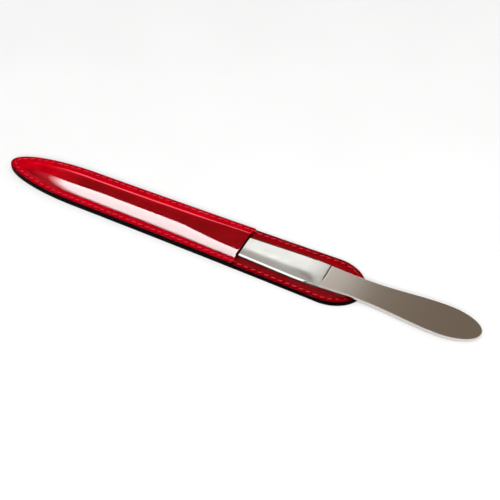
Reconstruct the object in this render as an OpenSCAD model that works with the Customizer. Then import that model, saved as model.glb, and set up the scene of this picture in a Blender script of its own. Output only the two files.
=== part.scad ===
// Paper or ink knife in a stitched leather sheath.
//
// Frame: millimetres, +Z up. The origin is on the underside of the sheath, on its centre line, below the
// mouth of the pocket. The pocket runs along -X to its pointed tip. The flap and the knife's handle run
// along +X. The knife slides along X; it is drawn here about half way out.

/* [Sheath outline] */
// Length of the pocket, from its mouth to the sheath's tip
pocket_len = 132.2; // [120:0.1:150]
// Length of the flap, from the mouth to its rounded end
flap_len = 62.4; // [55:0.1:75]
// Half width of the leather where the pointed tip begins
half_w_tip = 11.5; // [10.5:0.1:13]
// Half width of the leather at the mouth
half_w_mouth = 12.8; // [12:0.1:14]
// Half width of the leather where the rounded end of the flap begins
half_w_flap = 13.8; // [13:0.1:15]
// Length over which the pointed tip narrows
tip_round = 44; // [30:0.1:50]
// Length over which the flap's end rounds off
flap_round = 17.4; // [12:0.1:25]

/* [Leather and board] */
// Thickness of the leather on the underside
back_t = 0.9; // [0.7:0.05:1.4]
// Thickness of the stiffening board
core_t = 0.6; // [0.4:0.05:1]
// Thickness of the facing leather under the knife
facing_t = 0.9; // [0.7:0.05:1.4]
// Thickness of the leather of the moulded front
front_t = 0.8; // [0.6:0.05:1]
// Thickness of the black dressing on the cut edges
dressing_t = 0.15; // [0.1:0.01:0.3]

/* [Moulded pocket] */
// Flat margin between the sheath's edge and the foot of the moulded front
margin = 3.3; // [3:0.1:4]
// Height that the moulded front rises over the facing, inside
rise = 1.7; // [1.6:0.05:2.2]
// Distance from the mouth to the blind end of the pocket
cavity_len = 121.5; // [120:0.1:124]
// Length over which the blind end narrows
cavity_round = 36; // [25:0.5:45]

/* [Seam] */
// Distance between neighbouring stitch holes
stitch_pitch = 3.65; // [3:0.05:5]
// Distance from the leather's edge to the row of holes
stitch_inset = 1.9; // [1.6:0.1:2.2]
// Diameter of a stitch hole
hole_d = 1.1; // [1:0.05:1.3]
// Thickness of the thread
thread_d = 0.45; // [0.3:0.05:0.5]
// Width of the thread
thread_w = 0.6; // [0.4:0.05:0.7]
// Width of the groove that the stitches lie in
groove_w = 1; // [0.8:0.1:1.1]
// Depth of that groove in the leather of the moulded front
front_groove = 0.2; // [0.1:0.05:0.4]

/* [Knife] */
// Distance from the mouth to the end of the handle, as drawn
handle_end = 120; // [110:0.5:130]
// Length of the knife
knife_len = 179.5; // [175:0.5:180]
// Thickness of the handle
handle_t = 1.2; // [1:0.05:1.25]
// Thickness of the blade at its centre line
blade_t = 1; // [0.8:0.05:1.1]
// Thickness left on the blade's edges
edge_t = 0.2; // [0.15:0.05:0.3]
// Width of the bevel along each edge of the blade
bevel_w = 1.1; // [0.8:0.1:1.5]
// Half width of the blade where it meets its pointed tip
half_w_point = 4.6; // [4:0.1:5]
// Half width of the blade at its widest
half_w_blade = 7.75; // [7:0.05:7.8]
// Half width of the neck
half_w_neck = 6.5; // [6:0.1:7]
// Half width of the handle at its widest
half_w_handle = 9; // [8:0.1:9.5]

/* [Hidden] */
$fn = 32;
eps = 0.01;
// How far a cutting shape runs past the faces that it cuts
cut = 1;

// Heights of the glued faces
core_z = back_t;
facing_z = back_t + core_t;
flap_z = facing_z + facing_t;
margin_z = flap_z + front_t;

// ---- Sheath outline ----
tip_x = -pocket_len + tip_round;
end_x = flap_len - flap_round;
TIP_STEPS = 20;
SIDE_STEPS = 12;
END_STEPS = 14;

// The sides follow a gentle parabola through the three half widths.
bow = ((half_w_flap - half_w_mouth) / end_x + (half_w_tip - half_w_mouth) / -tip_x) / (end_x - tip_x);
lean = (half_w_flap - half_w_mouth) / end_x - bow * end_x;
function side_w(x) = half_w_mouth + lean * x + bow * x * x;
function side_slope(x) = lean + 2 * bow * x;

function unit(v) = v / norm(v);

// One quarter of an ellipse about [cx, 0], as [point, outward normal] pairs from angle a0 to a1
function ellipse_run(cx, rx, ry, a0, a1, steps) = [
    for (i = [0 : steps])
        let (a = a0 + (a1 - a0) * i / steps)
            [[cx + rx * cos(a), ry * sin(a)], unit([cos(a) / rx, sin(a) / ry])]
];

// The +Y side of the sheath from its tip to the end of the flap, as [point, outward normal] pairs
half_run = concat(
    ellipse_run(tip_x, tip_round, half_w_tip, 180, 90, TIP_STEPS),
    [
        for (i = [1 : SIDE_STEPS - 1])
            let (x = tip_x + (end_x - tip_x) * i / SIDE_STEPS)
                [[x, side_w(x)], unit([-side_slope(x), 1])]
    ],
    ellipse_run(end_x, flap_round, half_w_flap, 90, 0, END_STEPS)
);

// The closed outline, moved outwards by grow
function outline(grow) =
    let (
        half = [for (r = half_run) r[0] + grow * r[1]],
        last = len(half) - 1
    )
    concat(half, [for (i = [last - 1 : -1 : 1]) [half[i][0], -half[i][1]]]);

// ---- Stitch holes, evenly spaced along a line inside the edge ----
seam = outline(-stitch_inset);
seam_loop = concat(seam, [seam[0]]);
function run_to(i) = i == 0 ? 0 : run_to(i - 1) + norm(seam_loop[i] - seam_loop[i - 1]);
seam_s = [for (i = [0 : len(seam_loop) - 1]) run_to(i)];
seam_len = seam_s[len(seam_s) - 1];
stitches = 2 * round(seam_len / stitch_pitch / 2);
along_x = [for (i = [0 : len(seam_loop) - 1]) [seam_s[i], seam_loop[i][0]]];
along_y = [for (i = [0 : len(seam_loop) - 1]) [seam_s[i], seam_loop[i][1]]];
function hole_at(i) =
    let (s = (i % stitches) * seam_len / stitches)
        [lookup(s, along_x), lookup(s, along_y)];

// Direction of stitch i, and how far the row turns at hole i, in degrees
function heading(i) =
    let (d = hole_at(i + 1) - hole_at(i))
        atan2(d[1], d[0]);
function turn(i) = (heading(i) - heading(i + stitches - 1) + 540) % 360 - 180;

module hole_row() {
    for (i = [0 : stitches - 1])
        translate(hole_at(i))
            circle(d = hole_d);
}

// The stitched line from hole to hole, moved sideways by side
function seam_line(side) = [
    for (i = [0 : stitches - 1])
        let (
            half_turn = turn(i) / 2,
            a = heading(i) - half_turn + 90
        )
        hole_at(i) + side / cos(half_turn) * [cos(a), sin(a)]
];

// Groove that the stitches lie in, from z0 to z1
module seam_groove(z0, z1) {
    translate([0, 0, z0])
        linear_extrude(z1 - z0)
            difference() {
                polygon(seam_line(groove_w / 2));
                polygon(seam_line(-groove_w / 2));
            }
}

// A full-size ply, with its stitch holes
module ply(z, t) {
    translate([0, 0, z])
        linear_extrude(t)
            difference() {
                polygon(outline(0));
                hole_row();
            }
}

// ---- Moulded front ----
CROWN_POWER = 6;
CROWN_STEPS = 10;
BLIND_STEPS = 5;
BLIND_ANGLE = 80;
blind_x = -cavity_len + cavity_round;

// Share of the full size that the moulded form has at x: 1 along the pocket, narrowing in its blind end
function form_share(x, power) =
    let (t = min(1, max(0, (blind_x - x) / cavity_round)))
        pow(1 - pow(t, power), 1 / power);
function form_half_w(x) = (side_w(max(x, blind_x)) - margin) * form_share(x, 2);

// Cross-section of the form at x: flat in the middle, falling away to its foot on both sides
function form_section(x, inset, foot) =
    let (
        w = form_half_w(x) - inset * form_share(x, 2),
        h = rise * form_share(x, 4)
    )
    concat(
        [for (i = [-CROWN_STEPS : CROWN_STEPS])
            let (u = sin(90 * i / CROWN_STEPS))
                [w * u, h * (1 - pow(abs(u), CROWN_POWER))]],
        [[w, -foot], [-w, -foot]]
    );

// Solid form from the mouth plane at x = over to the blind end
module form(z, inset, foot, over) {
    stations = concat(
        [over],
        [for (i = [0 : BLIND_STEPS]) blind_x - cavity_round * sin(BLIND_ANGLE * i / BLIND_STEPS)]
    );
    hull()
        for (x = stations)
            translate([x, 0, z])
                rotate([90, 0, 90])
                    linear_extrude(eps)
                        polygon(form_section(min(x, 0), inset, foot));
}

// How far the inside of the moulded leather lies inside its outer face, across the pocket
FORM_INSET = 0.35;

module pocket_half_plane() {
    translate([-pocket_len - cut, -half_w_flap - cut])
        square([pocket_len + cut, 2 * (half_w_flap + cut)]);
}

// ---- Thread ----
SHOULDER = 0.4;
SHOULDER_STEPS = 3;
LEG_GAP = 0.02;
// How far from the middle of its hole a leg reaches
LEG_REACH = 0.4;
lock_z = flap_z / 2;

// One stitch seen from the side: a rounded bar of thread from x0 to x1, with a leg down into each hole.
// The holes are at 0 and span.
function stitch_outline(x0, x1, span, top, leg) = concat(
    [[x0, -leg]],
    [for (i = [0 : SHOULDER_STEPS])
        let (a = 180 - 90 * i / SHOULDER_STEPS)
            [x0 + SHOULDER + SHOULDER * cos(a), top - SHOULDER + SHOULDER * sin(a)]],
    [for (i = [0 : SHOULDER_STEPS])
        let (a = 90 - 90 * i / SHOULDER_STEPS)
            [x1 - SHOULDER + SHOULDER * cos(a), top - SHOULDER + SHOULDER * sin(a)]],
    [
        [x1, -leg], [span - LEG_REACH, -leg], [span - LEG_REACH, 0],
        [LEG_REACH, 0], [LEG_REACH, -leg]
    ]
);

// How far a leg stands back from the middle of hole i, so that the two legs in it clear each other on a bend
function leg_gap(i) = LEG_GAP + thread_w / 2 * abs(tan(turn(i) / 2));

// Stitch from hole i to the next. side is 1 for the upper face, -1 for the underside.
module stitch(i, z, leg, side) {
    a = hole_at(i);
    span = norm(hole_at(i + 1) - a);
    translate([a[0], a[1], z])
        rotate([0, 0, heading(i)])
            rotate([side * 90, 0, 0])
                linear_extrude(thread_w, center = true)
                    polygon(stitch_outline(leg_gap(i), span - leg_gap(i + 1), span, thread_d, leg));
}

// Height of the groove's floor under stitch i: on the flap the thread lies flush, so that the knife slides over it
function stitch_z(i) =
    min(hole_at(i)[0], hole_at(i + 1)[0]) < 0 ? margin_z - front_groove : flap_z - thread_d;

// ---- Knife ----
KNIFE_GAP = 0.05;
point_x = handle_end - knife_len;
shoulder_x = 30;
finish_x = 43;
neck_x = 63;
swell_x = 101;
point_round = 15;
knife_z = flap_z + KNIFE_GAP;
POINT_ANGLE = 6;
POINT_STEPS = 7;
RUN_STEPS = 3;
FACE_CROWN = 0.06;
HANDLE_CHAMFER = 0.3;
HANDLE_STEPS = 12;

function ease(t) = (1 - cos(180 * t)) / 2;
function blend_w(x, x0, w0, x1, w1) = w0 + (w1 - w0) * ease((x - x0) / (x1 - x0));

// Half width of the knife at x
function knife_w(x) =
    x < point_x + point_round
        ? half_w_point * sqrt(max(0, 1 - pow((point_x + point_round - x) / point_round, 2)))
    : x < shoulder_x
        ? half_w_point + (half_w_blade - half_w_point) * (x - point_x - point_round)
            / (shoulder_x - point_x - point_round)
    : x < neck_x ? blend_w(x, shoulder_x, half_w_blade, neck_x, half_w_neck)
    : x < swell_x ? blend_w(x, neck_x, half_w_neck, swell_x, half_w_handle)
    : half_w_handle * sqrt(max(0, 1 - pow((x - swell_x) / (handle_end - swell_x), 2)));

// Cross-section of the blade at x: slightly crowned faces and a bevel along each edge
function blade_section(x) =
    let (
        w = knife_w(x),
        flat = w / 3,
        b = min(bevel_w, w / 2),
        crown = blade_t / 2,
        cheek = crown - FACE_CROWN
    )
    [
        [-w, -edge_t / 2], [-w + b, -cheek], [-flat, -crown], [flat, -crown], [w - b, -cheek],
        [w, -edge_t / 2], [w, edge_t / 2], [w - b, cheek], [flat, crown], [-flat, crown],
        [-w + b, cheek], [-w, edge_t / 2]
    ];

module blade() {
    stations = concat(
        [for (i = [0 : POINT_STEPS])
            let (a = POINT_ANGLE + (90 - POINT_ANGLE) * i / POINT_STEPS)
                point_x + point_round * (1 - cos(a))],
        [for (i = [0 : RUN_STEPS]) shoulder_x + (finish_x + eps - shoulder_x) * i / RUN_STEPS]
    );
    hull()
        for (x = stations)
            translate([x, 0, handle_t / 2])
                rotate([90, 0, 90])
                    linear_extrude(eps)
                        polygon(blade_section(x));
}

function handle_outline(inset) =
    let (
        half = concat(
            [for (i = [0 : HANDLE_STEPS])
                let (x = finish_x + (swell_x - finish_x) * i / HANDLE_STEPS)
                    [x, knife_w(x) - inset]],
            [for (i = [1 : HANDLE_STEPS])
                let (a = 90 - 90 * i / HANDLE_STEPS)
                    [
                        swell_x + (handle_end - swell_x - inset) * cos(a),
                        (half_w_handle - inset) * sin(a)
                    ]]
        ),
        last = len(half) - 1
    )
    concat(half, [for (i = [last - 1 : -1 : 0]) [half[i][0], -half[i][1]]]);

// ---- Sub-parts ----
module knife() {
    color("silver")
        translate([0, 0, knife_z]) {
            blade();
            linear_extrude(handle_t)
                polygon(handle_outline(HANDLE_CHAMFER));
            translate([0, 0, HANDLE_CHAMFER])
                linear_extrude(handle_t - 2 * HANDLE_CHAMFER)
                    polygon(handle_outline(0));
        }
}

module front_panel() {
    color("crimson")
        difference() {
            union() {
                translate([0, 0, flap_z])
                    linear_extrude(front_t)
                        difference() {
                            intersection() {
                                polygon(outline(0));
                                pocket_half_plane();
                            }
                            hole_row();
                        }
                form(margin_z, 0, front_t / 2, -eps);
            }
            form(flap_z, FORM_INSET, cut, cut);
            seam_groove(margin_z - front_groove, margin_z + cut);
        }
}

module flap_facing() {
    color("firebrick")
        difference() {
            ply(facing_z, facing_t);
            difference() {
                seam_groove(flap_z - thread_d, flap_z + cut);
                linear_extrude(flap_z + 2 * cut)
                    pocket_half_plane();
            }
        }
}

module core_board() {
    color("tan")
        ply(core_z, core_t);
}

// Depth of the groove under the sheath, which keeps the bobbin thread clear of the table
TABLE_GAP = 0.05;
under_groove = thread_d + TABLE_GAP;

module back_panel() {
    color("darkred")
        difference() {
            ply(0, back_t);
            seam_groove(-cut, under_groove);
        }
}

module edge_band(z0, z1) {
    translate([0, 0, z0])
        linear_extrude(z1 - z0)
            difference() {
                polygon(outline(dressing_t));
                polygon(outline(0));
            }
}

module edge_dressing() {
    color("black") {
        edge_band(0, flap_z);
        intersection() {
            edge_band(flap_z, margin_z);
            translate([0, 0, flap_z - cut])
                linear_extrude(front_t + 2 * cut)
                    pocket_half_plane();
        }
        // The cut edge of the front leather at the mouth
        difference() {
            translate([0, 0, flap_z])
                rotate([90, 0, 90])
                    linear_extrude(dressing_t)
                        difference() {
                            union() {
                                translate([-half_w_mouth, 0])
                                    square([2 * half_w_mouth, front_t]);
                                translate([0, front_t])
                                    polygon(form_section(0, 0, front_t / 2));
                            }
                            polygon(form_section(0, FORM_INSET, cut));
                        }
            seam_groove(margin_z - front_groove, margin_z + cut);
        }
    }
}

module needle_thread() {
    color("indianred")
        for (i = [0 : stitches - 1])
            stitch(i, stitch_z(i), stitch_z(i) - lock_z - LEG_GAP, 1);
}

module bobbin_thread() {
    color("indianred")
        for (i = [0 : stitches - 1])
            stitch(i, under_groove, lock_z - under_groove - LEG_GAP, -1);
}

knife();
front_panel();
flap_facing();
core_board();
back_panel();
edge_dressing();
needle_thread();
bobbin_thread();
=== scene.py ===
"""Looks of the sheathed paper knife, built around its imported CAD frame."""

import math

import bmesh
import bpy
import numpy as np
from mathutils import Matrix, Quaternion, Vector


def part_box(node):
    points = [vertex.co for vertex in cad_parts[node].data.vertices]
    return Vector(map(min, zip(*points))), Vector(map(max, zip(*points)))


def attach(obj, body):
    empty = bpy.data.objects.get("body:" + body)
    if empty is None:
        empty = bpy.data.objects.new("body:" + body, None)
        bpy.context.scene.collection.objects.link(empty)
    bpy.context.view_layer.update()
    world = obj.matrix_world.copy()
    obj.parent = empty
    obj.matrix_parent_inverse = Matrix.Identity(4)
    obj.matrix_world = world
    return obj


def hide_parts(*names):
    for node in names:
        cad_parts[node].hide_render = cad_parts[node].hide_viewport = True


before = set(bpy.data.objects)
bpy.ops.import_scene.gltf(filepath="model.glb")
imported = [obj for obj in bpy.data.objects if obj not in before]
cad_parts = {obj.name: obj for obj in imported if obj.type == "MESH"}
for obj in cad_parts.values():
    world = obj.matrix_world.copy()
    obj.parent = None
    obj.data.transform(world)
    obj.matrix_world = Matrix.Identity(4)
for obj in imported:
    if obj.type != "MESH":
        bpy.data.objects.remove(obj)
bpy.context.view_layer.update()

MM = 0.001


def box_mm(node):
    """Lowest and highest corner of a CAD node, in millimetres."""
    low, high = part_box(node)
    return np.array(low) / MM, np.array(high) / MM


# ---- Sizes in millimetres: what the frame's boxes give, and then what only the part's source says ----
BACK_LOW, BACK_HIGH = box_mm("back_panel")
KNIFE_LOW, KNIFE_HIGH = box_mm("knife")
POCKET_LEN = -BACK_LOW[0]
FLAP_LEN = BACK_HIGH[0]
HALF_W_FLAP = BACK_HIGH[1]
HALF_W_MOUTH = box_mm("front_panel")[1][1]
CORE_Z = BACK_HIGH[2]
FACING_Z = box_mm("core_board")[1][2]
FLAP_Z = box_mm("flap_facing")[1][2]

HALF_W_TIP = 11.5
TIP_ROUND = 44.0
FLAP_ROUND = 17.4
FRONT_T = 0.8
MARGIN_Z = FLAP_Z + FRONT_T
DRESSING_T = 0.15
TIP_X = TIP_ROUND - POCKET_LEN
END_X = FLAP_LEN - FLAP_ROUND


# ---- Small helpers ----
def unit(v):
    return v / np.linalg.norm(v, axis=-1, keepdims=True)


def smooth(t):
    """0 up to t = 0, 1 from t = 1 on, and a soft step between."""
    t = np.clip(t, 0, 1)
    return t * t * (3 - 2 * t)


def rim_drop(d, radius):
    """How far a rounded rim lies below the face, at d in from the edge."""
    inside = np.clip(radius - d, 0, radius)
    return radius - np.sqrt(radius**2 - inside**2)


# ---- Outline of the sheath ----
# Its long sides are a parabola through the half widths at the tip's round, the mouth and the flap's round
BOW = ((HALF_W_FLAP - HALF_W_MOUTH) / END_X + (HALF_W_TIP - HALF_W_MOUTH) / -TIP_X) / (END_X - TIP_X)
LEAN = (HALF_W_FLAP - HALF_W_MOUTH) / END_X - BOW * END_X


def side_w(x):
    """Half width of the sheath along its sides."""
    return HALF_W_MOUTH + LEAN * x + BOW * x * x


def ellipse_run(centre_x, radius_x, radius_y, degrees):
    """Points and outward normals along part of an ellipse about [centre_x, 0]."""
    a = np.radians(degrees)
    points = np.stack([centre_x + radius_x * np.cos(a), radius_y * np.sin(a)], -1)
    return points, unit(np.stack([np.cos(a) / radius_x, np.sin(a) / radius_y], -1))


def half_run(tip_steps, side_x, end_steps):
    """The sheath's +Y side from its tip to the flap's end, as points and outward normals."""
    tip = ellipse_run(TIP_X, TIP_ROUND, HALF_W_TIP, np.linspace(180, 90, tip_steps + 1))
    end = ellipse_run(END_X, FLAP_ROUND, HALF_W_FLAP, np.linspace(90, 0, end_steps + 1))
    side = np.stack([side_x, side_w(side_x)], -1)
    side_normals = unit(np.stack([-(LEAN + 2 * BOW * side_x), np.ones_like(side_x)], -1))
    return (
        np.concatenate([tip[0], side, end[0]]),
        np.concatenate([tip[1], side_normals, end[1]]),
    )


def both_sides(points, normals):
    """A +Y half that starts or ends on the centre line, carried round to the -Y side."""
    return (
        np.concatenate([points[::-1] * [1, -1], points[1:]]),
        np.concatenate([normals[::-1] * [1, -1], normals[1:]]),
    )


# ---- Stitch holes, at the same places as in the part's source ----
STITCH_PITCH = 3.65
STITCH_INSET = 1.9
HOLE_TIP_STEPS = 20
HOLE_SIDE_STEPS = 12
HOLE_END_STEPS = 14


def stitch_holes():
    """Places of the holes, evenly spaced round the seam."""
    side_x = np.linspace(TIP_X, END_X, HOLE_SIDE_STEPS + 1)[1:-1]
    points, normals = half_run(HOLE_TIP_STEPS, side_x, HOLE_END_STEPS)
    half = points - STITCH_INSET * normals
    half[0, 1] = half[-1, 1] = 0
    loop = np.concatenate([half, half[-2::-1] * [1, -1]])
    run = np.concatenate([[0], np.cumsum(np.linalg.norm(np.diff(loop, axis=0), axis=1))])
    count = 2 * round(run[-1] / STITCH_PITCH / 2)
    at = np.arange(count) * run[-1] / count
    return np.stack([np.interp(at, run, loop[:, 0]), np.interp(at, run, loop[:, 1])], -1)


HOLES = stitch_holes()


# ---- Meshes ----
# Vertices closer together than this, in metres, become one
MERGE_M = 2e-7
# Distance in from the edge that is given to the ladder's points, which are all far in
DEEP = 99.0


def grid_faces(sections, points):
    """Quads between neighbouring sections of a loft, each of which is a closed loop of points."""
    across = np.arange(points)
    onward = (across + 1) % points
    row = np.arange(sections - 1)[:, None] * points
    quads = [row + across, row + onward, row + points + onward, row + points + across]
    return np.stack(quads, -1).reshape(-1, 4)


def closed_loft(sections):
    """A loft through an array of sections, with its two ends closed, as points and faces."""
    count = sections.shape[1]
    last = (len(sections) - 1) * count
    ends = [list(range(count)), [last + k for k in range(count)]]
    return sections.reshape(-1, 3), grid_faces(len(sections), count).tolist() + ends


def slab_rows(points, normals, bands, ladder, top, bottom):
    """Rows of a solid over an outline whose +Y half is given: bands run in from the edge, and the ladder's
    rungs cross from one side to the other. Returns the upper and lower points, and how far in each one is."""
    band = points[:, None] - bands[None, :, None] * normals[:, None]
    inner = band[:, -1]
    rung = np.stack(np.broadcast_arrays(inner[:, :1], inner[:, 1:] * ladder), -1)
    row = np.concatenate([band, rung, band[:, ::-1] * [1, -1]], axis=1)
    depth = np.concatenate([bands, np.full(len(ladder), DEEP), bands[::-1]])
    x, y, d = np.broadcast_arrays(row[..., 0], row[..., 1], depth)
    upper = np.stack([x, y, top(x, y, d)], -1)
    lower = np.stack([x, y, bottom(x, y, d)], -1)
    return upper, lower, d


def rung_shares(half_count):
    """Shares from 1 to -1 across the ladder, close together near its ends, without the ends."""
    return np.sin(np.linspace(math.pi / 2, -math.pi / 2, 2 * half_count + 1))[1:-1]


def make_piece(name, parts, materials, body, stands_for, tones=(), lining=()):
    """One object from parts, each (points in mm, faces). Vertices at one place are merged. The lining is
    faces on the first part's points, which take the second material."""
    points, faces, offset = [], [], 0
    for part_points, part_faces in parts:
        points.append(part_points)
        faces += [[corner + offset for corner in face] for face in part_faces]
        offset += len(part_points)
    indices = [0] * len(faces) + [1] * len(lining)
    mesh = bpy.data.meshes.new(name)
    mesh.from_pydata((np.concatenate(points) * MM).tolist(), [], faces + list(lining))
    mesh.polygons.foreach_set("material_index", indices)
    for key, value in dict(tones).items():
        layer = mesh.attributes.new(key, "FLOAT", "POINT")
        layer.data.foreach_set("value", np.asarray(value, np.float32).ravel())
    work = bmesh.new()
    work.from_mesh(mesh)
    bmesh.ops.remove_doubles(work, verts=work.verts, dist=MERGE_M)
    bmesh.ops.dissolve_degenerate(work, edges=work.edges, dist=MERGE_M)
    bmesh.ops.recalc_face_normals(work, faces=work.faces)
    work.to_mesh(mesh)
    work.free()
    mesh.shade_smooth()
    piece = bpy.data.objects.new(name, mesh)
    bpy.context.scene.collection.objects.link(piece)
    for material in materials:
        mesh.materials.append(material)
    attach(piece, body)
    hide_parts(*stands_for)
    return piece


# ---- Leather relief and tones ----
GROOVE_HALF = 0.42
DIP_R = 0.5
# How strongly, and how far in, the edge coat darkens the leather's edge
STAIN_EDGE = 0.85
STAIN_W = 1.2
STAIN_FALL = 1.6
# How strongly, and how far out, the leather is darkened round each stitch hole
HOLE_DARKENING = 0.4
HOLE_DARKENING_R = 0.8 * DIP_R


def hole_gap(x, y):
    """Distance to the nearest stitch hole."""
    return np.sqrt((x[..., None] - HOLES[:, 0]) ** 2 + (y[..., None] - HOLES[:, 1]) ** 2).min(axis=-1)


def seam_relief(x, y, d, groove, dip):
    """Depth of the stitched line's groove and of the dips at its holes."""
    relief = np.zeros(x.shape)
    near = d < 2 * STITCH_INSET
    line = np.exp(-(((d[near] - STITCH_INSET) / GROOVE_HALF) ** 2))
    relief[near] = groove * line + dip * np.exp(-((hole_gap(x[near], y[near]) / DIP_R) ** 2))
    return relief


def burnish_at(d, x, y):
    """How far the dark edge coat has bled into the leather, and how much darker the leather is made round
    each stitch hole.
    """
    edge = STAIN_EDGE * np.clip(1 - d / STAIN_W, 0, 1) ** STAIN_FALL
    return np.clip(edge + HOLE_DARKENING * np.exp(-((hole_gap(x, y) / HOLE_DARKENING_R) ** 2)), 0, 1)


# ---- Columns that the three leathers share: a rounded rim and then even bands under the seam ----
RIM_R = 0.3
RIM_DEGREES = [0, 15, 30, 45, 60, 75, 90]
BAND_START = 0.48
BAND_END = 3.4
BAND_STEP = 0.19
BANDS = np.concatenate([
    RIM_R * (1 - np.cos(np.radians(RIM_DEGREES))),
    np.arange(BAND_START, BAND_END, BAND_STEP),
])
TIP_STEPS = 48


# ---- Moulded front panel ----
# Height of the form, and the width of the pressed margin, which grows a little away from the mouth
RISE = 1.66
MARGIN = 3.7
MARGIN_MORE = 0.45
MARGIN_RUN = 60.0
# The form's section is a power curve, squarer at the mouth
POWER_MOUTH = 7.5
POWER_TIP = 3.1
POWER_RUN = 36.0
# Towards the tip the form gets lower, and past the reach of the knife's point it falls to nothing
LOWER_X = -78.0
LOWER_RUN = 35.0
LOWER_BY = 0.36
FALL_X = -116.5
FALL_RUN = 9.5
# Height over which the form's foot blends into the margin
FOOT_BLEND = 0.14
FOOT_BLEND_TIP = 0.55
FOOT_X = -70.0
FOOT_RUN = 45.0
# The inside is squarer than the outside, to leave room for the knife
WALL_INSET = 0.05
POWER_INSIDE = 4.9
# The glaze wears off towards the tip, later on the far side
GLAZE_X = -84.0
GLAZE_RUN = 30.0
GLAZE_SLANT = 1.5
# Limits that keep the form's formula finite outside it
MIN_HALF_W = 0.3
MAX_SHARE = 3.0
MIN_BLEND = 1e-6
FRONT_GROOVE = 0.03
FRONT_DIP = 0.1
# Radius of the leather's edge at the mouth, and the run over which the bands turn square to it
MOUTH_ROUND = 0.2
MOUTH_DEGREES = [0, 25, 50, 70, 90]
SQUARE_RUN = 4.0
SIDE_STEP = 0.55
FRONT_RUNGS = 26


def form_half_w(x):
    """Half width of the moulded form, which keeps its margin round the sheath's tip."""
    margin = MARGIN + MARGIN_MORE * smooth(-x / MARGIN_RUN)
    tip = np.clip((TIP_X - x) / TIP_ROUND, 0, 1)
    return side_w(np.maximum(x, TIP_X)) * np.sqrt(1 - tip**2) - margin


def dome(x, y, inset=0.0, extra_power=0.0):
    """Height of the moulded form: flat-topped at the mouth, rounder and lower towards the tip."""
    lowered = 1 - LOWER_BY * smooth((LOWER_X - x) / LOWER_RUN)
    share = lowered * (1 - smooth((FALL_X - x) / FALL_RUN))
    power = POWER_MOUTH + (POWER_TIP - POWER_MOUTH) * smooth(-x / POWER_RUN) + extra_power
    width = np.maximum(form_half_w(x) - inset, MIN_HALF_W)
    raw = RISE * share * (1 - np.minimum(np.abs(y) / width, MAX_SHARE) ** power)
    foot = FOOT_BLEND + (FOOT_BLEND_TIP - FOOT_BLEND) * smooth((FOOT_X - x) / FOOT_RUN)
    blend = foot * share + MIN_BLEND
    return np.where(raw > blend, raw, np.clip(raw + blend, 0, None) ** 2 / (4 * blend))


def front_top(x, y, d):
    rounded = rim_drop(-x, MOUTH_ROUND)
    relief = seam_relief(x, y, d, FRONT_GROOVE, FRONT_DIP)
    return MARGIN_Z + dome(x, y) - rim_drop(d, RIM_R) - rounded - relief


def front_bottom(x, y, d):
    return FLAP_Z + np.where(d < MARGIN, 0, dome(x, y, WALL_INSET, POWER_INSIDE))


def front_rows():
    """Rows of the front leather, from its tip to the mouth."""
    side_x = np.concatenate([
        np.arange(TIP_X + SIDE_STEP, -2 * MOUTH_ROUND, SIDE_STEP),
        -MOUTH_ROUND * (1 - np.sin(np.radians(MOUTH_DEGREES))),
    ])
    points, normals = half_run(TIP_STEPS, side_x, 1)
    # The last two points belong to the flap's end
    points, normals = points[:-2], normals[:-2]
    squared = smooth((points[:, 0] + SQUARE_RUN) / SQUARE_RUN)[:, None]
    normals = unit(normals * (1 - squared) + np.array([0, 1.0]) * squared)
    return slab_rows(points, normals, BANDS, rung_shares(FRONT_RUNGS), front_top, front_bottom)


def front_panel(materials):
    upper, lower, depth = front_rows()
    sections, across = upper.shape[:2]
    loops = np.concatenate([upper, lower[:, ::-1]], axis=1)
    around = 2 * across
    faces = grid_faces(sections, around)
    inside = (faces[:, 0] % around >= across) & (faces[:, 1] % around >= across)
    last = (sections - 1) * around
    j = np.arange(across - 1)
    mouth = np.stack([last + j, last + j + 1, last + around - 2 - j, last + around - 1 - j], -1)
    points = loops.reshape(-1, 3)
    x, y, z = points.T
    deep = np.concatenate([depth, depth[:, ::-1]], axis=1).ravel()
    glaze_end = GLAZE_X - GLAZE_SLANT * np.clip(y, 0, None)
    glaze = 1 - smooth((glaze_end - x) / GLAZE_RUN)
    tones = {
        "burnish": burnish_at(deep, x, y),
        "rise": glaze * np.clip((z - MARGIN_Z) / RISE, 0, 1),
    }
    parts = [(points, faces[~inside].tolist())]
    lining = faces[inside].tolist() + mouth.tolist()
    return make_piece(
        "moulded_front", parts, materials, "sheath", ["front_panel"], tones, lining
    )


# ---- Flat plies ----
PLY_STEP = 0.6
END_STEPS = 36
PLY_RUNGS = 10
# The glued face is hidden, so it has only some of the columns
GLUED_COLUMNS = [0, 8, 14, 18, 22, 26, 30, 34, 42, 48, -1]
# Width of the pressed border under the seam, and the run over which it ends
BORDER_W = 3.0
BORDER_FADE = 0.8


def ply(name, top, bottom, material, node):
    """A full-size ply: top gives the face that shows, bottom the glued one."""
    side_x = np.arange(TIP_X + PLY_STEP, END_X - PLY_STEP / 2, PLY_STEP)
    points, normals = half_run(TIP_STEPS, side_x, END_STEPS)
    upper, lower, depth = slab_rows(points, normals, BANDS, rung_shares(PLY_RUNGS), top, bottom)
    loops = np.concatenate([upper, lower[:, GLUED_COLUMNS][:, ::-1]], axis=1)
    grid = loops.reshape(-1, 3)
    deep = np.concatenate([depth, depth[:, GLUED_COLUMNS][:, ::-1]], axis=1).ravel()
    tones = {
        "burnish": burnish_at(deep, grid[:, 0], grid[:, 1]),
        "rise": smooth((deep - BORDER_W) / BORDER_FADE),
    }
    faces = grid_faces(len(loops), loops.shape[1]).tolist()
    return make_piece(name, [(grid, faces)], [material], "sheath", [node], tones)


# The facing lies this much lower under the pocket than on the flap, clear of the front leather
GLUE_GAP = 0.01
MOUTH_RUN = 0.5
FLAP_RIM_R = 0.35
FLAP_GROOVE = 0.08
FLAP_DIP = 0.12
BACK_RIM_R = 0.3
BACK_GROOVE = 0.42
BACK_DIP = 0.2


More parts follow.
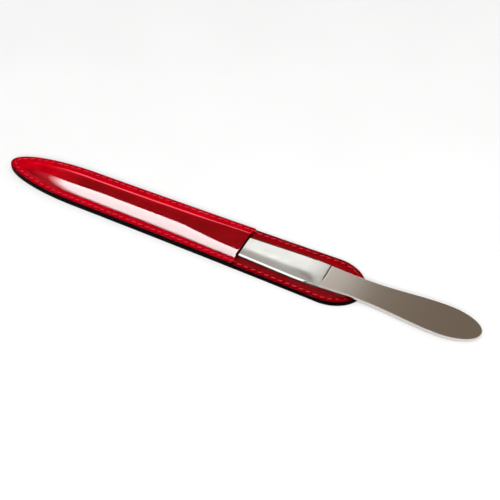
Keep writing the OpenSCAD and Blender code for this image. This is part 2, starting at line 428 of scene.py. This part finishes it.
def facing_top(x, y, d):
    on_flap = smooth(x + MOUTH_RUN)
    rim = rim_drop(d, FLAP_RIM_R) * on_flap
    relief = seam_relief(x, y, d, FLAP_GROOVE, FLAP_DIP) * on_flap
    return FLAP_Z - GLUE_GAP * (1 - on_flap) - rim - relief


def facing_bottom(x, y, d):
    return np.full(x.shape, FACING_Z)


def back_face(x, y, d):
    return rim_drop(d, BACK_RIM_R) + seam_relief(x, y, d, BACK_GROOVE, BACK_DIP)


def back_glued(x, y, d):
    return np.full(x.shape, CORE_Z)


# ---- Edge dressing ----
COAT_STEP = 1.0
MOUTH_COAT = 0.12


def dressing_profile(top):
    """The coat's section as (grow, z): a skin over the rim, which wraps a little way on to both faces."""
    outer = [
        (-0.26, 0.0), (-0.1, 0.03), (0.04, 0.1), (0.12, 0.22), (DRESSING_T, 0.45),
        (DRESSING_T, top / 2), (DRESSING_T, top - 0.62), (0.12, top - 0.42), (0.06, top - 0.27),
        (-0.04, top - 0.14), (-0.16, top - 0.055), (-0.32, top - 0.002),
    ]
    inner = [
        (-0.34, top - 0.05), (-0.1, top - 0.3), (-0.04, top - 0.6),
        (-0.04, 0.5), (-0.1, 0.2), (-0.28, 0.06),
    ]
    return np.array(outer + inner)


def dressing_part(points, normals, profile):
    """The coat along a stretch of the outline, with its two ends closed."""
    rows = [
        np.column_stack([point + profile[:, :1] * normal, profile[:, 1]])
        for point, normal in zip(points, normals)
    ]
    return closed_loft(np.array(rows))


def mouth_coat():
    """The coat on the front leather's cut edge, as one section at each place across the mouth."""
    upper, lower, _ = front_rows()
    rows = []
    for (_, y, top), (_, _, bottom) in zip(upper[-1], lower[-1]):
        rows.append([
            (-0.06, y, top + 0.52 * MOUTH_ROUND), (0.03, y, top + 0.02), (MOUTH_COAT, y, top - 0.1),
            (MOUTH_COAT, y, bottom + 0.06), (0.04, y, bottom - 0.004), (-0.02, y, bottom + 0.05),
            (-0.02, y, top - 0.05),
        ])
    return closed_loft(np.array(rows))


def edge_dressing(material):
    pocket_x = np.append(np.arange(TIP_X + COAT_STEP, -COAT_STEP, COAT_STEP), [-COAT_STEP / 2, 0])
    pocket = [run[:-2] for run in half_run(TIP_STEPS, pocket_x, 1)]
    flap_x = np.arange(0, END_X - COAT_STEP / 2, COAT_STEP)
    flap_end = [run[:1:-1] for run in half_run(1, flap_x, END_STEPS)]
    stretches = [
        dressing_part(*both_sides(*pocket), dressing_profile(MARGIN_Z)),
        dressing_part(*both_sides(*flap_end), dressing_profile(FLAP_Z)),
        mouth_coat(),
    ]
    return make_piece("edge_coat", stretches, [material], "sheath", ["edge_dressing"])


# ---- Thread ----
THREAD_W = 0.8
THREAD_H = 0.45
PLY_DEPTH = 0.12
TWIST_PER_MM = 1.1
PHASE_STEP = 1.7
# How far a stitch leans across the seam, and how quickly
STITCH_SLANT = 0.3
SLANT_GAIN = 2.2
RINGS = 20
RING_SIDES = 12
# How deep a stitch's ends go, how far they stay from the middle of the hole, and how they climb out of it
LEG = 0.7
HOLE_REACH = 0.6
CLIMB_RUN = 0.55
CLIMB_POWER = 2.4
THIN_END = 0.72
# How proud of the leather the thread stands. On the flap it lies flush where the handle passes over it.
FRONT_PROUD = 0.21
FLAP_SUNK = 0.01
FLAP_MORE = 0.14
HANDLE_SIDE = 9.4
HANDLE_RUN = 0.8
UNDER_Z = 0.05


def stitch(start, end, z_start, z_end, z_top, side, phase):
    """One stitch of two-ply thread from hole to hole, on the upper face for side 1 and on the underside
    for side -1."""
    run = end - start
    span = np.linalg.norm(run)
    along = run / span
    left = np.array([-along[1], along[0]])
    s = np.linspace(0, 1, RINGS)
    reach = HOLE_REACH + (span - 2 * HOLE_REACH) * s
    edge = np.minimum(reach - HOLE_REACH, span - HOLE_REACH - reach)
    climb = 1 - (1 - np.clip(edge / CLIMB_RUN, 0, 1)) ** CLIMB_POWER
    floor_z = np.where(s < 0.5, z_start, z_end)
    z = floor_z + (z_top - side * THREAD_H / 2 - floor_z) * climb
    slant = STITCH_SLANT * np.clip(SLANT_GAIN * (s - 0.5), -1, 1)
    centre = np.column_stack([start + np.outer(reach, along) + np.outer(slant, left), z])
    tangent = unit(np.gradient(centre, axis=0))
    across = unit(np.cross([0, 0, 1.0], tangent))
    up = np.cross(tangent, across)
    angle = np.linspace(0, 2 * math.pi, RING_SIDES, endpoint=False)
    twist = phase + 2 * math.pi * TWIST_PER_MM * reach
    lobe = 1 - PLY_DEPTH * (1 + np.cos(2 * (angle[None] - twist[:, None])))
    size = lobe * (THIN_END + (1 - THIN_END) * climb[:, None])
    wide = (THREAD_W / 2 * np.cos(angle)[None] * size)[..., None] * across[:, None]
    high = (THREAD_H / 2 * np.sin(angle)[None] * size)[..., None] * up[:, None]
    return closed_loft(centre[:, None] + wide + high)


def upper_heights(start, end):
    """Heights of an upper stitch's two ends and of its top."""
    ends = [(MARGIN_Z if p[0] < 0 else FLAP_Z) - LEG for p in (start, end)]
    if min(start[0], end[0]) < 0:
        return *ends, MARGIN_Z + FRONT_PROUD
    beside = smooth((min(abs(start[1]), abs(end[1])) - HANDLE_SIDE) / HANDLE_RUN)
    return *ends, FLAP_Z - FLAP_SUNK + FLAP_MORE * beside


def thread(name, material, node, side):
    """A stitch from each hole to the next, all round one face of the sheath."""
    stitches = []
    for i, start in enumerate(HOLES):
        end = HOLES[(i + 1) % len(HOLES)]
        heights = upper_heights(start, end) if side > 0 else (LEG, LEG, UNDER_Z)
        stitches.append(stitch(start, end, *heights, side, PHASE_STEP * i))
    return make_piece(name, stitches, [material], "sheath", [node])


# ---- Knife ----
HANDLE_END = KNIFE_HIGH[0]
KNIFE_LEN = 179.5
POINT_X = HANDLE_END - KNIFE_LEN
POINT_ROUND = 15.0
SHOULDER_X = 30.0
FINISH_X = 43.0
NECK_X = 63.0
SWELL_X = 101.0
HALF_W_HANDLE = KNIFE_HIGH[1]
HALF_W_BLADE = 7.75
HALF_W_NECK = 6.5
HALF_W_POINT = 4.6
HANDLE_HALF = (KNIFE_HIGH[2] - KNIFE_LOW[2]) / 2
KNIFE_MID_Z = (KNIFE_HIGH[2] + KNIFE_LOW[2]) / 2
# Half thickness of the blade, which thins over a run towards its point and thickens again into the handle
BLADE_HALF = 0.5
POINT_HALF = 0.27
TAPER_RUN = 45.0
THICKEN_RUN = 25.0
# Bevel along both edges. It narrows in a sweep that starts at RUN_OUT_X.
EDGE_HALF = 0.09
BEVEL_W = 0.8
RUN_OUT_X = 31.0
RUN_OUT = 6.0
HANDLE_RIM = 0.28
# Crown of the blade's faces, which flattens before the finish line
FACE_CROWN = 0.12
FLATTEN_X = 32.0
FLATTEN_RUN = 10.5
# Scribed finish line, which fades out before it reaches the near edge
SCRIBE_DEPTH = 0.03
SCRIBE_HALF = 0.26
SCRIBE_FADE_Y = -3.5
SCRIBE_FADE = 1.5
# How the outline is divided, with short steps where the bevel runs out and at the finish line
POINT_STEPS = 30
BLADE_STEPS = 69
FINE_STEP = 0.22
FINE_PAST = 2.0
COARSE_PAST = 2.2
HANDLE_STEPS = 59
HANDLE_END_STEPS = 40
KNIFE_BANDS = np.array([0, 0.02, 0.06, 0.12, 0.19, 0.28, 0.45, 0.65, 0.85, 1.0, 1.07, 1.13, 1.25])
KNIFE_RUNGS = 14


def ease(t):
    """Half a cosine wave, from 0 at t = 0 to 1 at t = 1."""
    return (1 - np.cos(math.pi * np.clip(t, 0, 1))) / 2


def knife_w(x):
    """Half width of the knife between its two rounded ends."""
    start = POINT_X + POINT_ROUND
    straight = HALF_W_POINT + (HALF_W_BLADE - HALF_W_POINT) * (x - start) / (SHOULDER_X - start)
    neck = HALF_W_BLADE + (HALF_W_NECK - HALF_W_BLADE) * ease((x - SHOULDER_X) / (NECK_X - SHOULDER_X))
    swell = HALF_W_NECK + (HALF_W_HANDLE - HALF_W_NECK) * ease((x - NECK_X) / (SWELL_X - NECK_X))
    return np.where(x < SHOULDER_X, straight, np.where(x < NECK_X, neck, swell))


def knife_run():
    """The knife's +Y side from its point to the end of its handle, as points and outward normals."""
    start = POINT_X + POINT_ROUND
    side_x = np.concatenate([
        np.linspace(start, SHOULDER_X - 1, BLADE_STEPS + 1)[1:],
        np.arange(SHOULDER_X, FINISH_X + FINE_PAST, FINE_STEP),
        np.linspace(FINISH_X + COARSE_PAST, SWELL_X, HANDLE_STEPS + 1)[:-1],
    ])
    point = ellipse_run(start, POINT_ROUND, HALF_W_POINT, np.linspace(180, 90, POINT_STEPS + 1))
    end_degrees = np.linspace(90, 0, HANDLE_END_STEPS + 1)
    end = ellipse_run(SWELL_X, HANDLE_END - SWELL_X, HALF_W_HANDLE, end_degrees)
    step = 0.01
    slope = (knife_w(side_x + step) - knife_w(side_x - step)) / (2 * step)
    side = np.stack([side_x, knife_w(side_x)], -1)
    side_normals = unit(np.stack([-slope, np.ones_like(slope)], -1))
    return np.concatenate([point[0], side, end[0]]), np.concatenate([point[1], side_normals, end[1]])


def knife_half(x, y, d):
    """Half thickness: a crowned, bevelled blade that runs out in a sweep to the flat handle."""
    width = knife_w(np.maximum(x, POINT_X + POINT_ROUND))
    taper = POINT_HALF + (BLADE_HALF - POINT_HALF) * smooth((x - POINT_X) / TAPER_RUN)
    flat = smooth((x - FLATTEN_X) / FLATTEN_RUN)
    face = taper - FACE_CROWN * (1 - flat) * np.clip(np.abs(y) / width, 0, 1) ** 2
    run_out = np.sqrt(1 - np.clip((x - RUN_OUT_X) / RUN_OUT, 0, 1) ** 2)
    bevel_w = HANDLE_RIM + (BEVEL_W - HANDLE_RIM) * run_out
    bevel = EDGE_HALF + (BLADE_HALF - FACE_CROWN - EDGE_HALF) * d / bevel_w
    blade = np.minimum(face, bevel)
    handle = HANDLE_HALF - rim_drop(d, HANDLE_RIM)
    scribe = np.exp(-(((x - FINISH_X) / SCRIBE_HALF) ** 2)) * smooth((y - SCRIBE_FADE_Y) / SCRIBE_FADE)
    return blade + (handle - blade) * smooth((x - FINISH_X) / THICKEN_RUN) - SCRIBE_DEPTH * scribe


def knife(material):
    points, normals = knife_run()
    upper, lower, _ = slab_rows(
        points, normals, KNIFE_BANDS, rung_shares(KNIFE_RUNGS),
        lambda x, y, d: KNIFE_MID_Z + knife_half(x, y, d),
        lambda x, y, d: KNIFE_MID_Z - knife_half(x, y, d),
    )
    loops = np.concatenate([upper, lower[:, ::-1]], axis=1)
    parts = [(loops.reshape(-1, 3), grid_faces(len(loops), loops.shape[1]).tolist())]
    return make_piece("paper_knife", parts, [material], "knife", ["knife"])


# ---- Materials ----
# The Mix node's sockets, by number because those for values and those for colours have the same names
MIX_SHARE = 0
MIX_VALUES = (2, 3)
MIX_COLOURS = (6, 7)
MIX_COLOUR_OUT = 2


class Shader:
    """A material with one Principled shader, and short ways to add nodes to it."""

    def __init__(self, name, **inputs):
        self.material = bpy.data.materials.new(name)
        self.material.use_nodes = True
        self.tree = self.material.node_tree
        self.tree.nodes.clear()
        output = self.tree.nodes.new("ShaderNodeOutputMaterial")
        self.surface = self.tree.nodes.new("ShaderNodeBsdfPrincipled")
        self.link(self.surface.outputs[0], output.inputs[0])
        self.place = self.tree.nodes.new("ShaderNodeTexCoord").outputs["Object"]
        for key, value in inputs.items():
            self.surface.inputs[key.replace("_", " ")].default_value = value

    def link(self, source, target):
        self.tree.links.new(source, target)

    def node(self, kind, inputs=(), **settings):
        made = self.tree.nodes.new("ShaderNode" + kind)
        for key, value in settings.items():
            setattr(made, key, value)
        for key, value in dict(inputs).items():
            if isinstance(value, bpy.types.NodeSocket):
                self.link(value, made.inputs[key])
            else:
                made.inputs[key].default_value = value
        return made

    def noise(self, size_mm, detail=3.0, roughness=0.5, place=None):
        """Noise whose features are about size_mm across."""
        inputs = {
            "Vector": place or self.place, "Scale": 1 / (size_mm * MM),
            "Detail": detail, "Roughness": roughness,
        }
        return self.node("TexNoise", inputs).outputs["Fac"]

    def stretched(self, x, y, z):
        """The object's coordinates, scaled along each axis."""
        return self.node("Mapping", {"Vector": self.place, "Scale": (x, y, z)}).outputs[0]

    def axis(self, index):
        """The object's coordinate along one axis, in metres."""
        return self.node("SeparateXYZ", {0: self.place}).outputs[index]

    def cells(self, size_mm):
        inputs = {"Vector": self.place, "Scale": 1 / (size_mm * MM)}
        return self.node("TexVoronoi", inputs, feature="SMOOTH_F1").outputs["Distance"]

    def remap(self, value, low, high, from_low=0.3, from_high=0.7):
        """A value carried over to the range from low to high. The range it comes from suits plain noise."""
        inputs = {"Value": value, "From Min": from_low, "From Max": from_high, "To Min": low, "To Max": high}
        return self.node("MapRange", inputs).outputs[0]

    def calc(self, operation, first, second=0.0):
        return self.node("Math", {0: first, 1: second}, operation=operation).outputs[0]

    def between(self, share, first, second):
        """A value that goes from first to second."""
        inputs = {MIX_SHARE: share, MIX_VALUES[0]: first, MIX_VALUES[1]: second}
        return self.node("Mix", inputs).outputs[0]

    def blend(self, share, first, second):
        """A colour that goes from first to second."""
        inputs = {MIX_SHARE: share, MIX_COLOURS[0]: first, MIX_COLOURS[1]: second}
        return self.node("Mix", inputs, data_type="RGBA").outputs[MIX_COLOUR_OUT]

    def attribute(self, name):
        return self.node("Attribute", attribute_name=name).outputs["Fac"]

    def bump(self, height, strength, distance_mm, after=None):
        inputs = {"Height": height, "Strength": strength, "Distance": distance_mm * MM}
        if after is not None:
            inputs["Normal"] = after
        return self.node("Bump", inputs).outputs[0]

    def set(self, **outputs):
        for key, value in outputs.items():
            self.link(value, self.surface.inputs[key.replace("_", " ")])
        return self.material


def colour(red, green, blue):
    return (red, green, blue, 1.0)


def glazed_leather(name, base, deep, sheen_base, sheen_deep):
    """Dyed leather under a clear glaze: mottled, fine-grained and dark where the edge coat has bled in.
    Where it is pressed flat under the seam it has lost most of its glaze; there, and where the form gets low
    towards the tip, it is painted a lighter red as painted sheen."""
    s = Shader(name, Specular_IOR_Level=0.0, Coat_Roughness=0.05, Coat_IOR=1.5)
    mottled = s.blend(s.remap(s.noise(9, 4), 0, 1), base, deep)
    # Painted sheen: a lighter red where the form is low or its glaze has worn off, on the margins and towards
    # the tip
    painted_sheen = s.blend(s.remap(s.noise(5, 4), 0, 1), sheen_base, sheen_deep)
    rise = s.attribute("rise")
    dye_and_sheen = s.blend(s.remap(rise, 1, 0, 0.1, 0.85), mottled, painted_sheen)
    stained = colour(0.035, 0.0, 0.0008)
    shade = s.blend(s.attribute("burnish"), dye_and_sheen, stained)
    grain = s.bump(s.cells(0.55), 0.22, 0.035)
    creased = s.bump(s.noise(2.4, 4, 0.6), 0.16, 0.12, grain)
    glaze = s.bump(s.noise(3.0, 2), 0.03, 0.12, s.bump(s.cells(0.7), 0.05, 0.02))
    return s.set(
        Base_Color=shade, Roughness=s.remap(s.noise(1.5, 3), 0.24, 0.4), Normal=creased,
        Coat_Normal=glaze, Coat_Weight=s.remap(rise, 0.02, 1, 0.05, 0.35)
    )


def flesh_side():
    """The unglazed inner face of the front leather."""
    s = Shader("flesh_side", Specular_IOR_Level=0.25, Sheen_Weight=0.35, Sheen_Roughness=0.5)
    shade = s.blend(s.remap(s.noise(0.5, 5), 0, 1), colour(0.09, 0.012, 0.01), colour(0.16, 0.03, 0.02))
    nap = s.bump(s.noise(0.25, 5), 0.5, 0.08)
    return s.set(Base_Color=shade, Roughness=s.remap(s.noise(0.8), 0.75, 0.95), Normal=nap)


def fibre_board():
    s = Shader("fibre_board", Specular_IOR_Level=0.3)
    shade = s.blend(s.remap(s.noise(0.6, 6), 0, 1), colour(0.3, 0.2, 0.12), colour(0.14, 0.085, 0.05))
    fibres = s.bump(s.noise(0.3, 5), 0.4, 0.08)
    return s.set(Base_Color=shade, Roughness=s.remap(s.noise(1.2), 0.7, 0.95), Normal=fibres)


def edge_coat_black():
    """Black edge dressing, burnished over the plies, whose joints still show as faint ridges."""
    s = Shader("edge_coat_black", Specular_IOR_Level=0.02)
    plies = s.noise(0.5, 2, place=s.stretched(0.04, 0.04, 1.0))
    black = colour(0.001, 0.0007, 0.0007)
    worn = colour(0.004, 0.0012, 0.0012)
    shade = s.blend(s.remap(s.noise(1.6, 4), 0, 1), black, worn)
    surface = s.bump(s.noise(0.35, 4), 0.25, 0.05, s.bump(plies, 0.35, 0.12))
    return s.set(Base_Color=shade, Roughness=s.remap(s.noise(1.1), 0.38, 0.6), Normal=surface)


def sewing_thread():
    s = Shader("sewing_thread", Specular_IOR_Level=0.2)
    fibres = s.noise(0.12, 4, 0.65, s.stretched(1, 1, 2))
    shade = s.blend(s.remap(fibres, 0, 1), colour(0.95, 0.035, 0.07), colour(0.7, 0.016, 0.036))
    return s.set(Base_Color=shade, Roughness=s.remap(fibres, 0.42, 0.65), Normal=s.bump(fibres, 0.5, 0.03))


# Where along the knife the satin finish starts, and where a painted dark reflection builds up in the polish
# on the way to it
SATIN_FROM = FINISH_X - 1.0
SATIN_TO = FINISH_X + 0.2
PAINTED_DARK_FROM = 32.0
PAINTED_DARK_TO = 42.0
# The finish line's painted shade: its half width, with and without its soft edge, and where across the knife
# it has faded
LINE_HALF = 0.2
LINE_EDGE = 0.45
LINE_FADE_Y = -4.5


def knife_steel():
    """Mirror-polished blade with faint buffing lines, a painted dark reflection towards the finish line,
    painted shade in that line, and a bead-fine satin handle past it.
    """
    s = Shader("knife_steel", Metallic=1.0, Specular_IOR_Level=0.5)
    along = s.axis(0)
    satin = s.remap(along, 0, 1, SATIN_FROM * MM, SATIN_TO * MM)
    off_line = s.calc("ABSOLUTE", s.calc("SUBTRACT", along, FINISH_X * MM))
    on_line = s.remap(off_line, 1, 0, LINE_HALF * MM, LINE_EDGE * MM)
    scribe = s.calc("MULTIPLY", s.remap(s.axis(1), 0, 0.7, LINE_FADE_Y * MM, 0), on_line)
    lines = s.noise(0.35, 3, 0.6, s.stretched(0.05, 1, 1))
    beads = s.noise(0.3, 4, 0.7)
    polished = s.blend(s.remap(s.noise(6, 3), 0, 1), colour(0.7, 0.72, 0.705), colour(0.64, 0.66, 0.645))
    # Painted dark reflection: the polish is made darker on the way to the finish line
    painted_dark_reflection = colour(0.5, 0.51, 0.49)
    blade = s.blend(s.remap(along, 0, 1, PAINTED_DARK_FROM * MM, PAINTED_DARK_TO * MM), polished, painted_dark_reflection)
    matt = s.blend(s.remap(beads, 0, 1), colour(0.76, 0.72, 0.67), colour(0.68, 0.64, 0.59))
    # Painted shade of the scribed finish line's shallow groove
    painted_line_shade = colour(0.12, 0.11, 0.1)
    shade = s.blend(scribe, s.blend(satin, blade, matt), painted_line_shade)
    rough = s.between(satin, s.remap(lines, 0.06, 0.1), s.remap(beads, 0.155, 0.19))
    surface = s.bump(s.between(satin, lines, beads), 0.06, 0.02)
    return s.set(Base_Color=shade, Roughness=rough, Normal=surface)


def table_top():
    s = Shader("table_top", Specular_IOR_Level=0.2)
    shade = s.blend(s.remap(s.noise(60, 2), 0, 1), colour(0.83, 0.83, 0.83), colour(0.81, 0.81, 0.81))
    return s.set(Base_Color=shade, Roughness=s.remap(s.noise(20), 0.6, 0.7))


# ---- Pieces ----
# The two lighter reds are painted sheen for the front leather's margins and tip
RED = colour(0.34, 0.0, 0.0035)
DEEP_RED = colour(0.25, 0.0, 0.0018)
SHEEN_PAINTED_RED = colour(0.65, 0.0, 0.009)
SHEEN_PAINTED_DEEP = colour(0.49, 0.0, 0.006)
leather_front = glazed_leather("glazed_front_leather", RED, DEEP_RED, SHEEN_PAINTED_RED, SHEEN_PAINTED_DEEP)
leather_facing = glazed_leather("glazed_facing_leather", RED, DEEP_RED, RED, DEEP_RED)
leather_back = glazed_leather("glazed_back_leather", RED, DEEP_RED, RED, DEEP_RED)
thread_red = sewing_thread()

front = front_panel([leather_front, flesh_side()])
flap = ply("flap_leather", facing_top, facing_bottom, leather_facing, "flap_facing")
underside = ply("underside_leather", back_face, back_glued, leather_back, "back_panel")
coat = edge_dressing(edge_coat_black())
upper_thread = thread("upper_stitches", thread_red, "needle_thread", 1)
under_thread = thread("under_stitches", thread_red, "bobbin_thread", -1)
paper_knife = knife(knife_steel())

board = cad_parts["core_board"]
board.data.materials.clear()
board.data.materials.append(fibre_board())


# ---- Stage, in metres ----
FLOOR_SIZE = 12.0
FLOOR_DROP = 0.00002
CENTRE = (0, 0, 0)
WHITE = (1, 1, 1)
PINK = (1.0, 0.15, 0.25)
WARM = (1.0, 0.74, 0.5)
# Centre of the long level strip, past the sheath's tip and on the near side. Its far end sets the upper
# border of the highlight on the leather.
STRIP_X, STRIP_Y, STRIP_Z = -0.575, -0.93, 1.0
ROUND_RADIANCE = 0.6
WORLD_TINT = (1.0, 0.93, 0.86, 1.0)
WORLD_STRENGTH = 0.05


def floor():
    mesh = bpy.data.meshes.new("floor")
    half = FLOOR_SIZE / 2
    corners = [(-half, -half, 0), (half, -half, 0), (half, half, 0), (-half, half, 0)]
    mesh.from_pydata(corners, [], [(0, 1, 2, 3)])
    mesh.materials.append(table_top())
    made = bpy.data.objects.new("floor", mesh)
    made.location.z = -FLOOR_DROP
    bpy.context.scene.collection.objects.link(made)
    return made


def softbox(name, place, size, radiance, only, aim=CENTRE, tint=WHITE, diffuse=True, glossy=True, roll=0.0):
    """A rectangular light, equally bright from wherever it is seen, that lights only some of the pieces."""
    width, height = size
    data = bpy.data.lights.new(name, "AREA")
    data.shape = "RECTANGLE"
    data.size = width
    data.size_y = height
    data.energy = radiance * math.pi * width * height
    data.color = tint
    made = bpy.data.objects.new(name, data)
    made.location = place
    made.rotation_mode = "QUATERNION"
    turn = (Vector(aim) - Vector(place)).to_track_quat("-Z", "Y")
    made.rotation_quaternion = turn @ Quaternion((0, 0, 1), math.radians(roll))
    made.visible_diffuse = diffuse
    made.visible_glossy = glossy
    made.visible_camera = False
    bpy.context.scene.collection.objects.link(made)
    receivers = bpy.data.collections.new(name + "_receivers")
    for piece in only:
        receivers.objects.link(piece)
    made.light_linking.receiver_collection = receivers


def toward(azimuth, elevation, distance):
    """A place seen from the origin at an azimuth from +Y towards +X and an elevation, in degrees."""
    a, e = math.radians(azimuth), math.radians(elevation)
    level = distance * math.cos(e)
    return level * math.sin(a), level * math.cos(a), distance * math.sin(e)


def table_lights(table):
    softbox("table_light", (0, 0, 1.6), (9.0, 9.0), 0.5, [table], glossy=False)
    softbox("table_front", toward(154, 48, 1.8), (1.4, 1.4), 6.5, [table], glossy=False)


def sheath_lights():
    """Soft light on the sheath, and cards seen only in the leathers' glaze."""
    sheath = [front, flap, underside, coat, upper_thread, under_thread, board]
    softbox("sheath_soft", toward(-15, 35, 1.3), (1.5, 0.65), 7.9, sheath, glossy=False)
    softbox("sheath_fill", (0.2, -0.6, 1.4), (1.6, 1.6), 0.7, sheath, glossy=False)
    skins = [front, flap, underside]
    strip, below = (STRIP_X, STRIP_Y, STRIP_Z), (STRIP_X, STRIP_Y, 0)
    softbox("leather_strip", strip, (0.75, 3.3), 18.5, skins, aim=below, diffuse=False)
    softbox("crease_strip", toward(-25, 4, 1.4), (1.6, 0.2), 6.5, skins, tint=PINK, diffuse=False)
    softbox("tip_strip", toward(-45, 11, 1.4), (0.5, 0.36), 8.0, skins, tint=PINK, diffuse=False)


def knife_lights():
    """Cards seen only in the steel: those of the photo's view, and then some for the other views."""
    only = [paper_knife]
    blade_place = toward(-33.65, 28, 1.25)
    softbox("blade_card", blade_place, (0.85, 0.765), 1.08, only, diffuse=False, roll=-25)
    softbox("blade_upper", toward(-40, 62, 1.25), (0.5, 0.6), 0.34, only, diffuse=False)
    softbox("warm_wall", toward(0, 50, 1.6), (2.4, 2.4), 0.14, only, tint=WARM, diffuse=False)
    softbox("bevel_card", (-0.3, 0.1, 1.0), (0.5, 0.4), 1.4, only, diffuse=False)
    for name, place, size in [
        ("overhead_card", (0, 0, 1.5), (0.6, 0.6)),
        ("near_card", toward(180, 32, 1.5), (2.6, 1.4)),
        ("far_card", toward(47, 33, 1.5), (1.6, 1.3)),
        ("tip_end_card", toward(-98, 28, 1.5), (1.7, 1.2)),
        ("handle_end_card", toward(95, 30, 1.5), (2.0, 1.2)),
    ]:
        softbox(name, place, size, ROUND_RADIANCE, only, diffuse=False)


def surroundings():
    world = bpy.data.worlds.new("studio")
    world.use_nodes = True
    background = world.node_tree.nodes["Background"]
    background.inputs["Color"].default_value = WORLD_TINT
    background.inputs["Strength"].default_value = WORLD_STRENGTH
    bpy.context.scene.world = world


# ---- Camera: on the near side and past the handle's end, looking down at the middle of the object ----
CAMERA_ELEVATION = math.radians(47.362)
CAMERA_AZIMUTH = math.radians(26.865)
CAMERA_DISTANCE = 0.61553
CAMERA_TARGET = Vector((0.002639, 0.001522, 0))
LENS_MM = 92.46
SENSOR_MM = 36
CLIP_NEAR = 0.01
CLIP_FAR = 20


def camera():
    data = bpy.data.cameras.new("camera")
    data.lens = LENS_MM
    data.sensor_width = SENSOR_MM
    data.clip_start = CLIP_NEAR
    data.clip_end = CLIP_FAR
    made = bpy.data.objects.new("camera", data)
    flat = math.cos(CAMERA_ELEVATION)
    back = Vector((
        math.sin(CAMERA_AZIMUTH) * flat,
        -math.cos(CAMERA_AZIMUTH) * flat,
        math.sin(CAMERA_ELEVATION),
    ))
    right = Vector((math.cos(CAMERA_AZIMUTH), math.sin(CAMERA_AZIMUTH), 0))
    up = back.cross(right)
    turn = Matrix((right, up, back)).transposed().to_4x4()
    made.matrix_world = Matrix.Translation(CAMERA_TARGET + back * CAMERA_DISTANCE) @ turn
    bpy.context.scene.collection.objects.link(made)
    bpy.context.scene.camera = made


table_lights(floor())
sheath_lights()
knife_lights()
surroundings()
camera()
bpy.context.scene.view_settings.view_transform = "Standard"
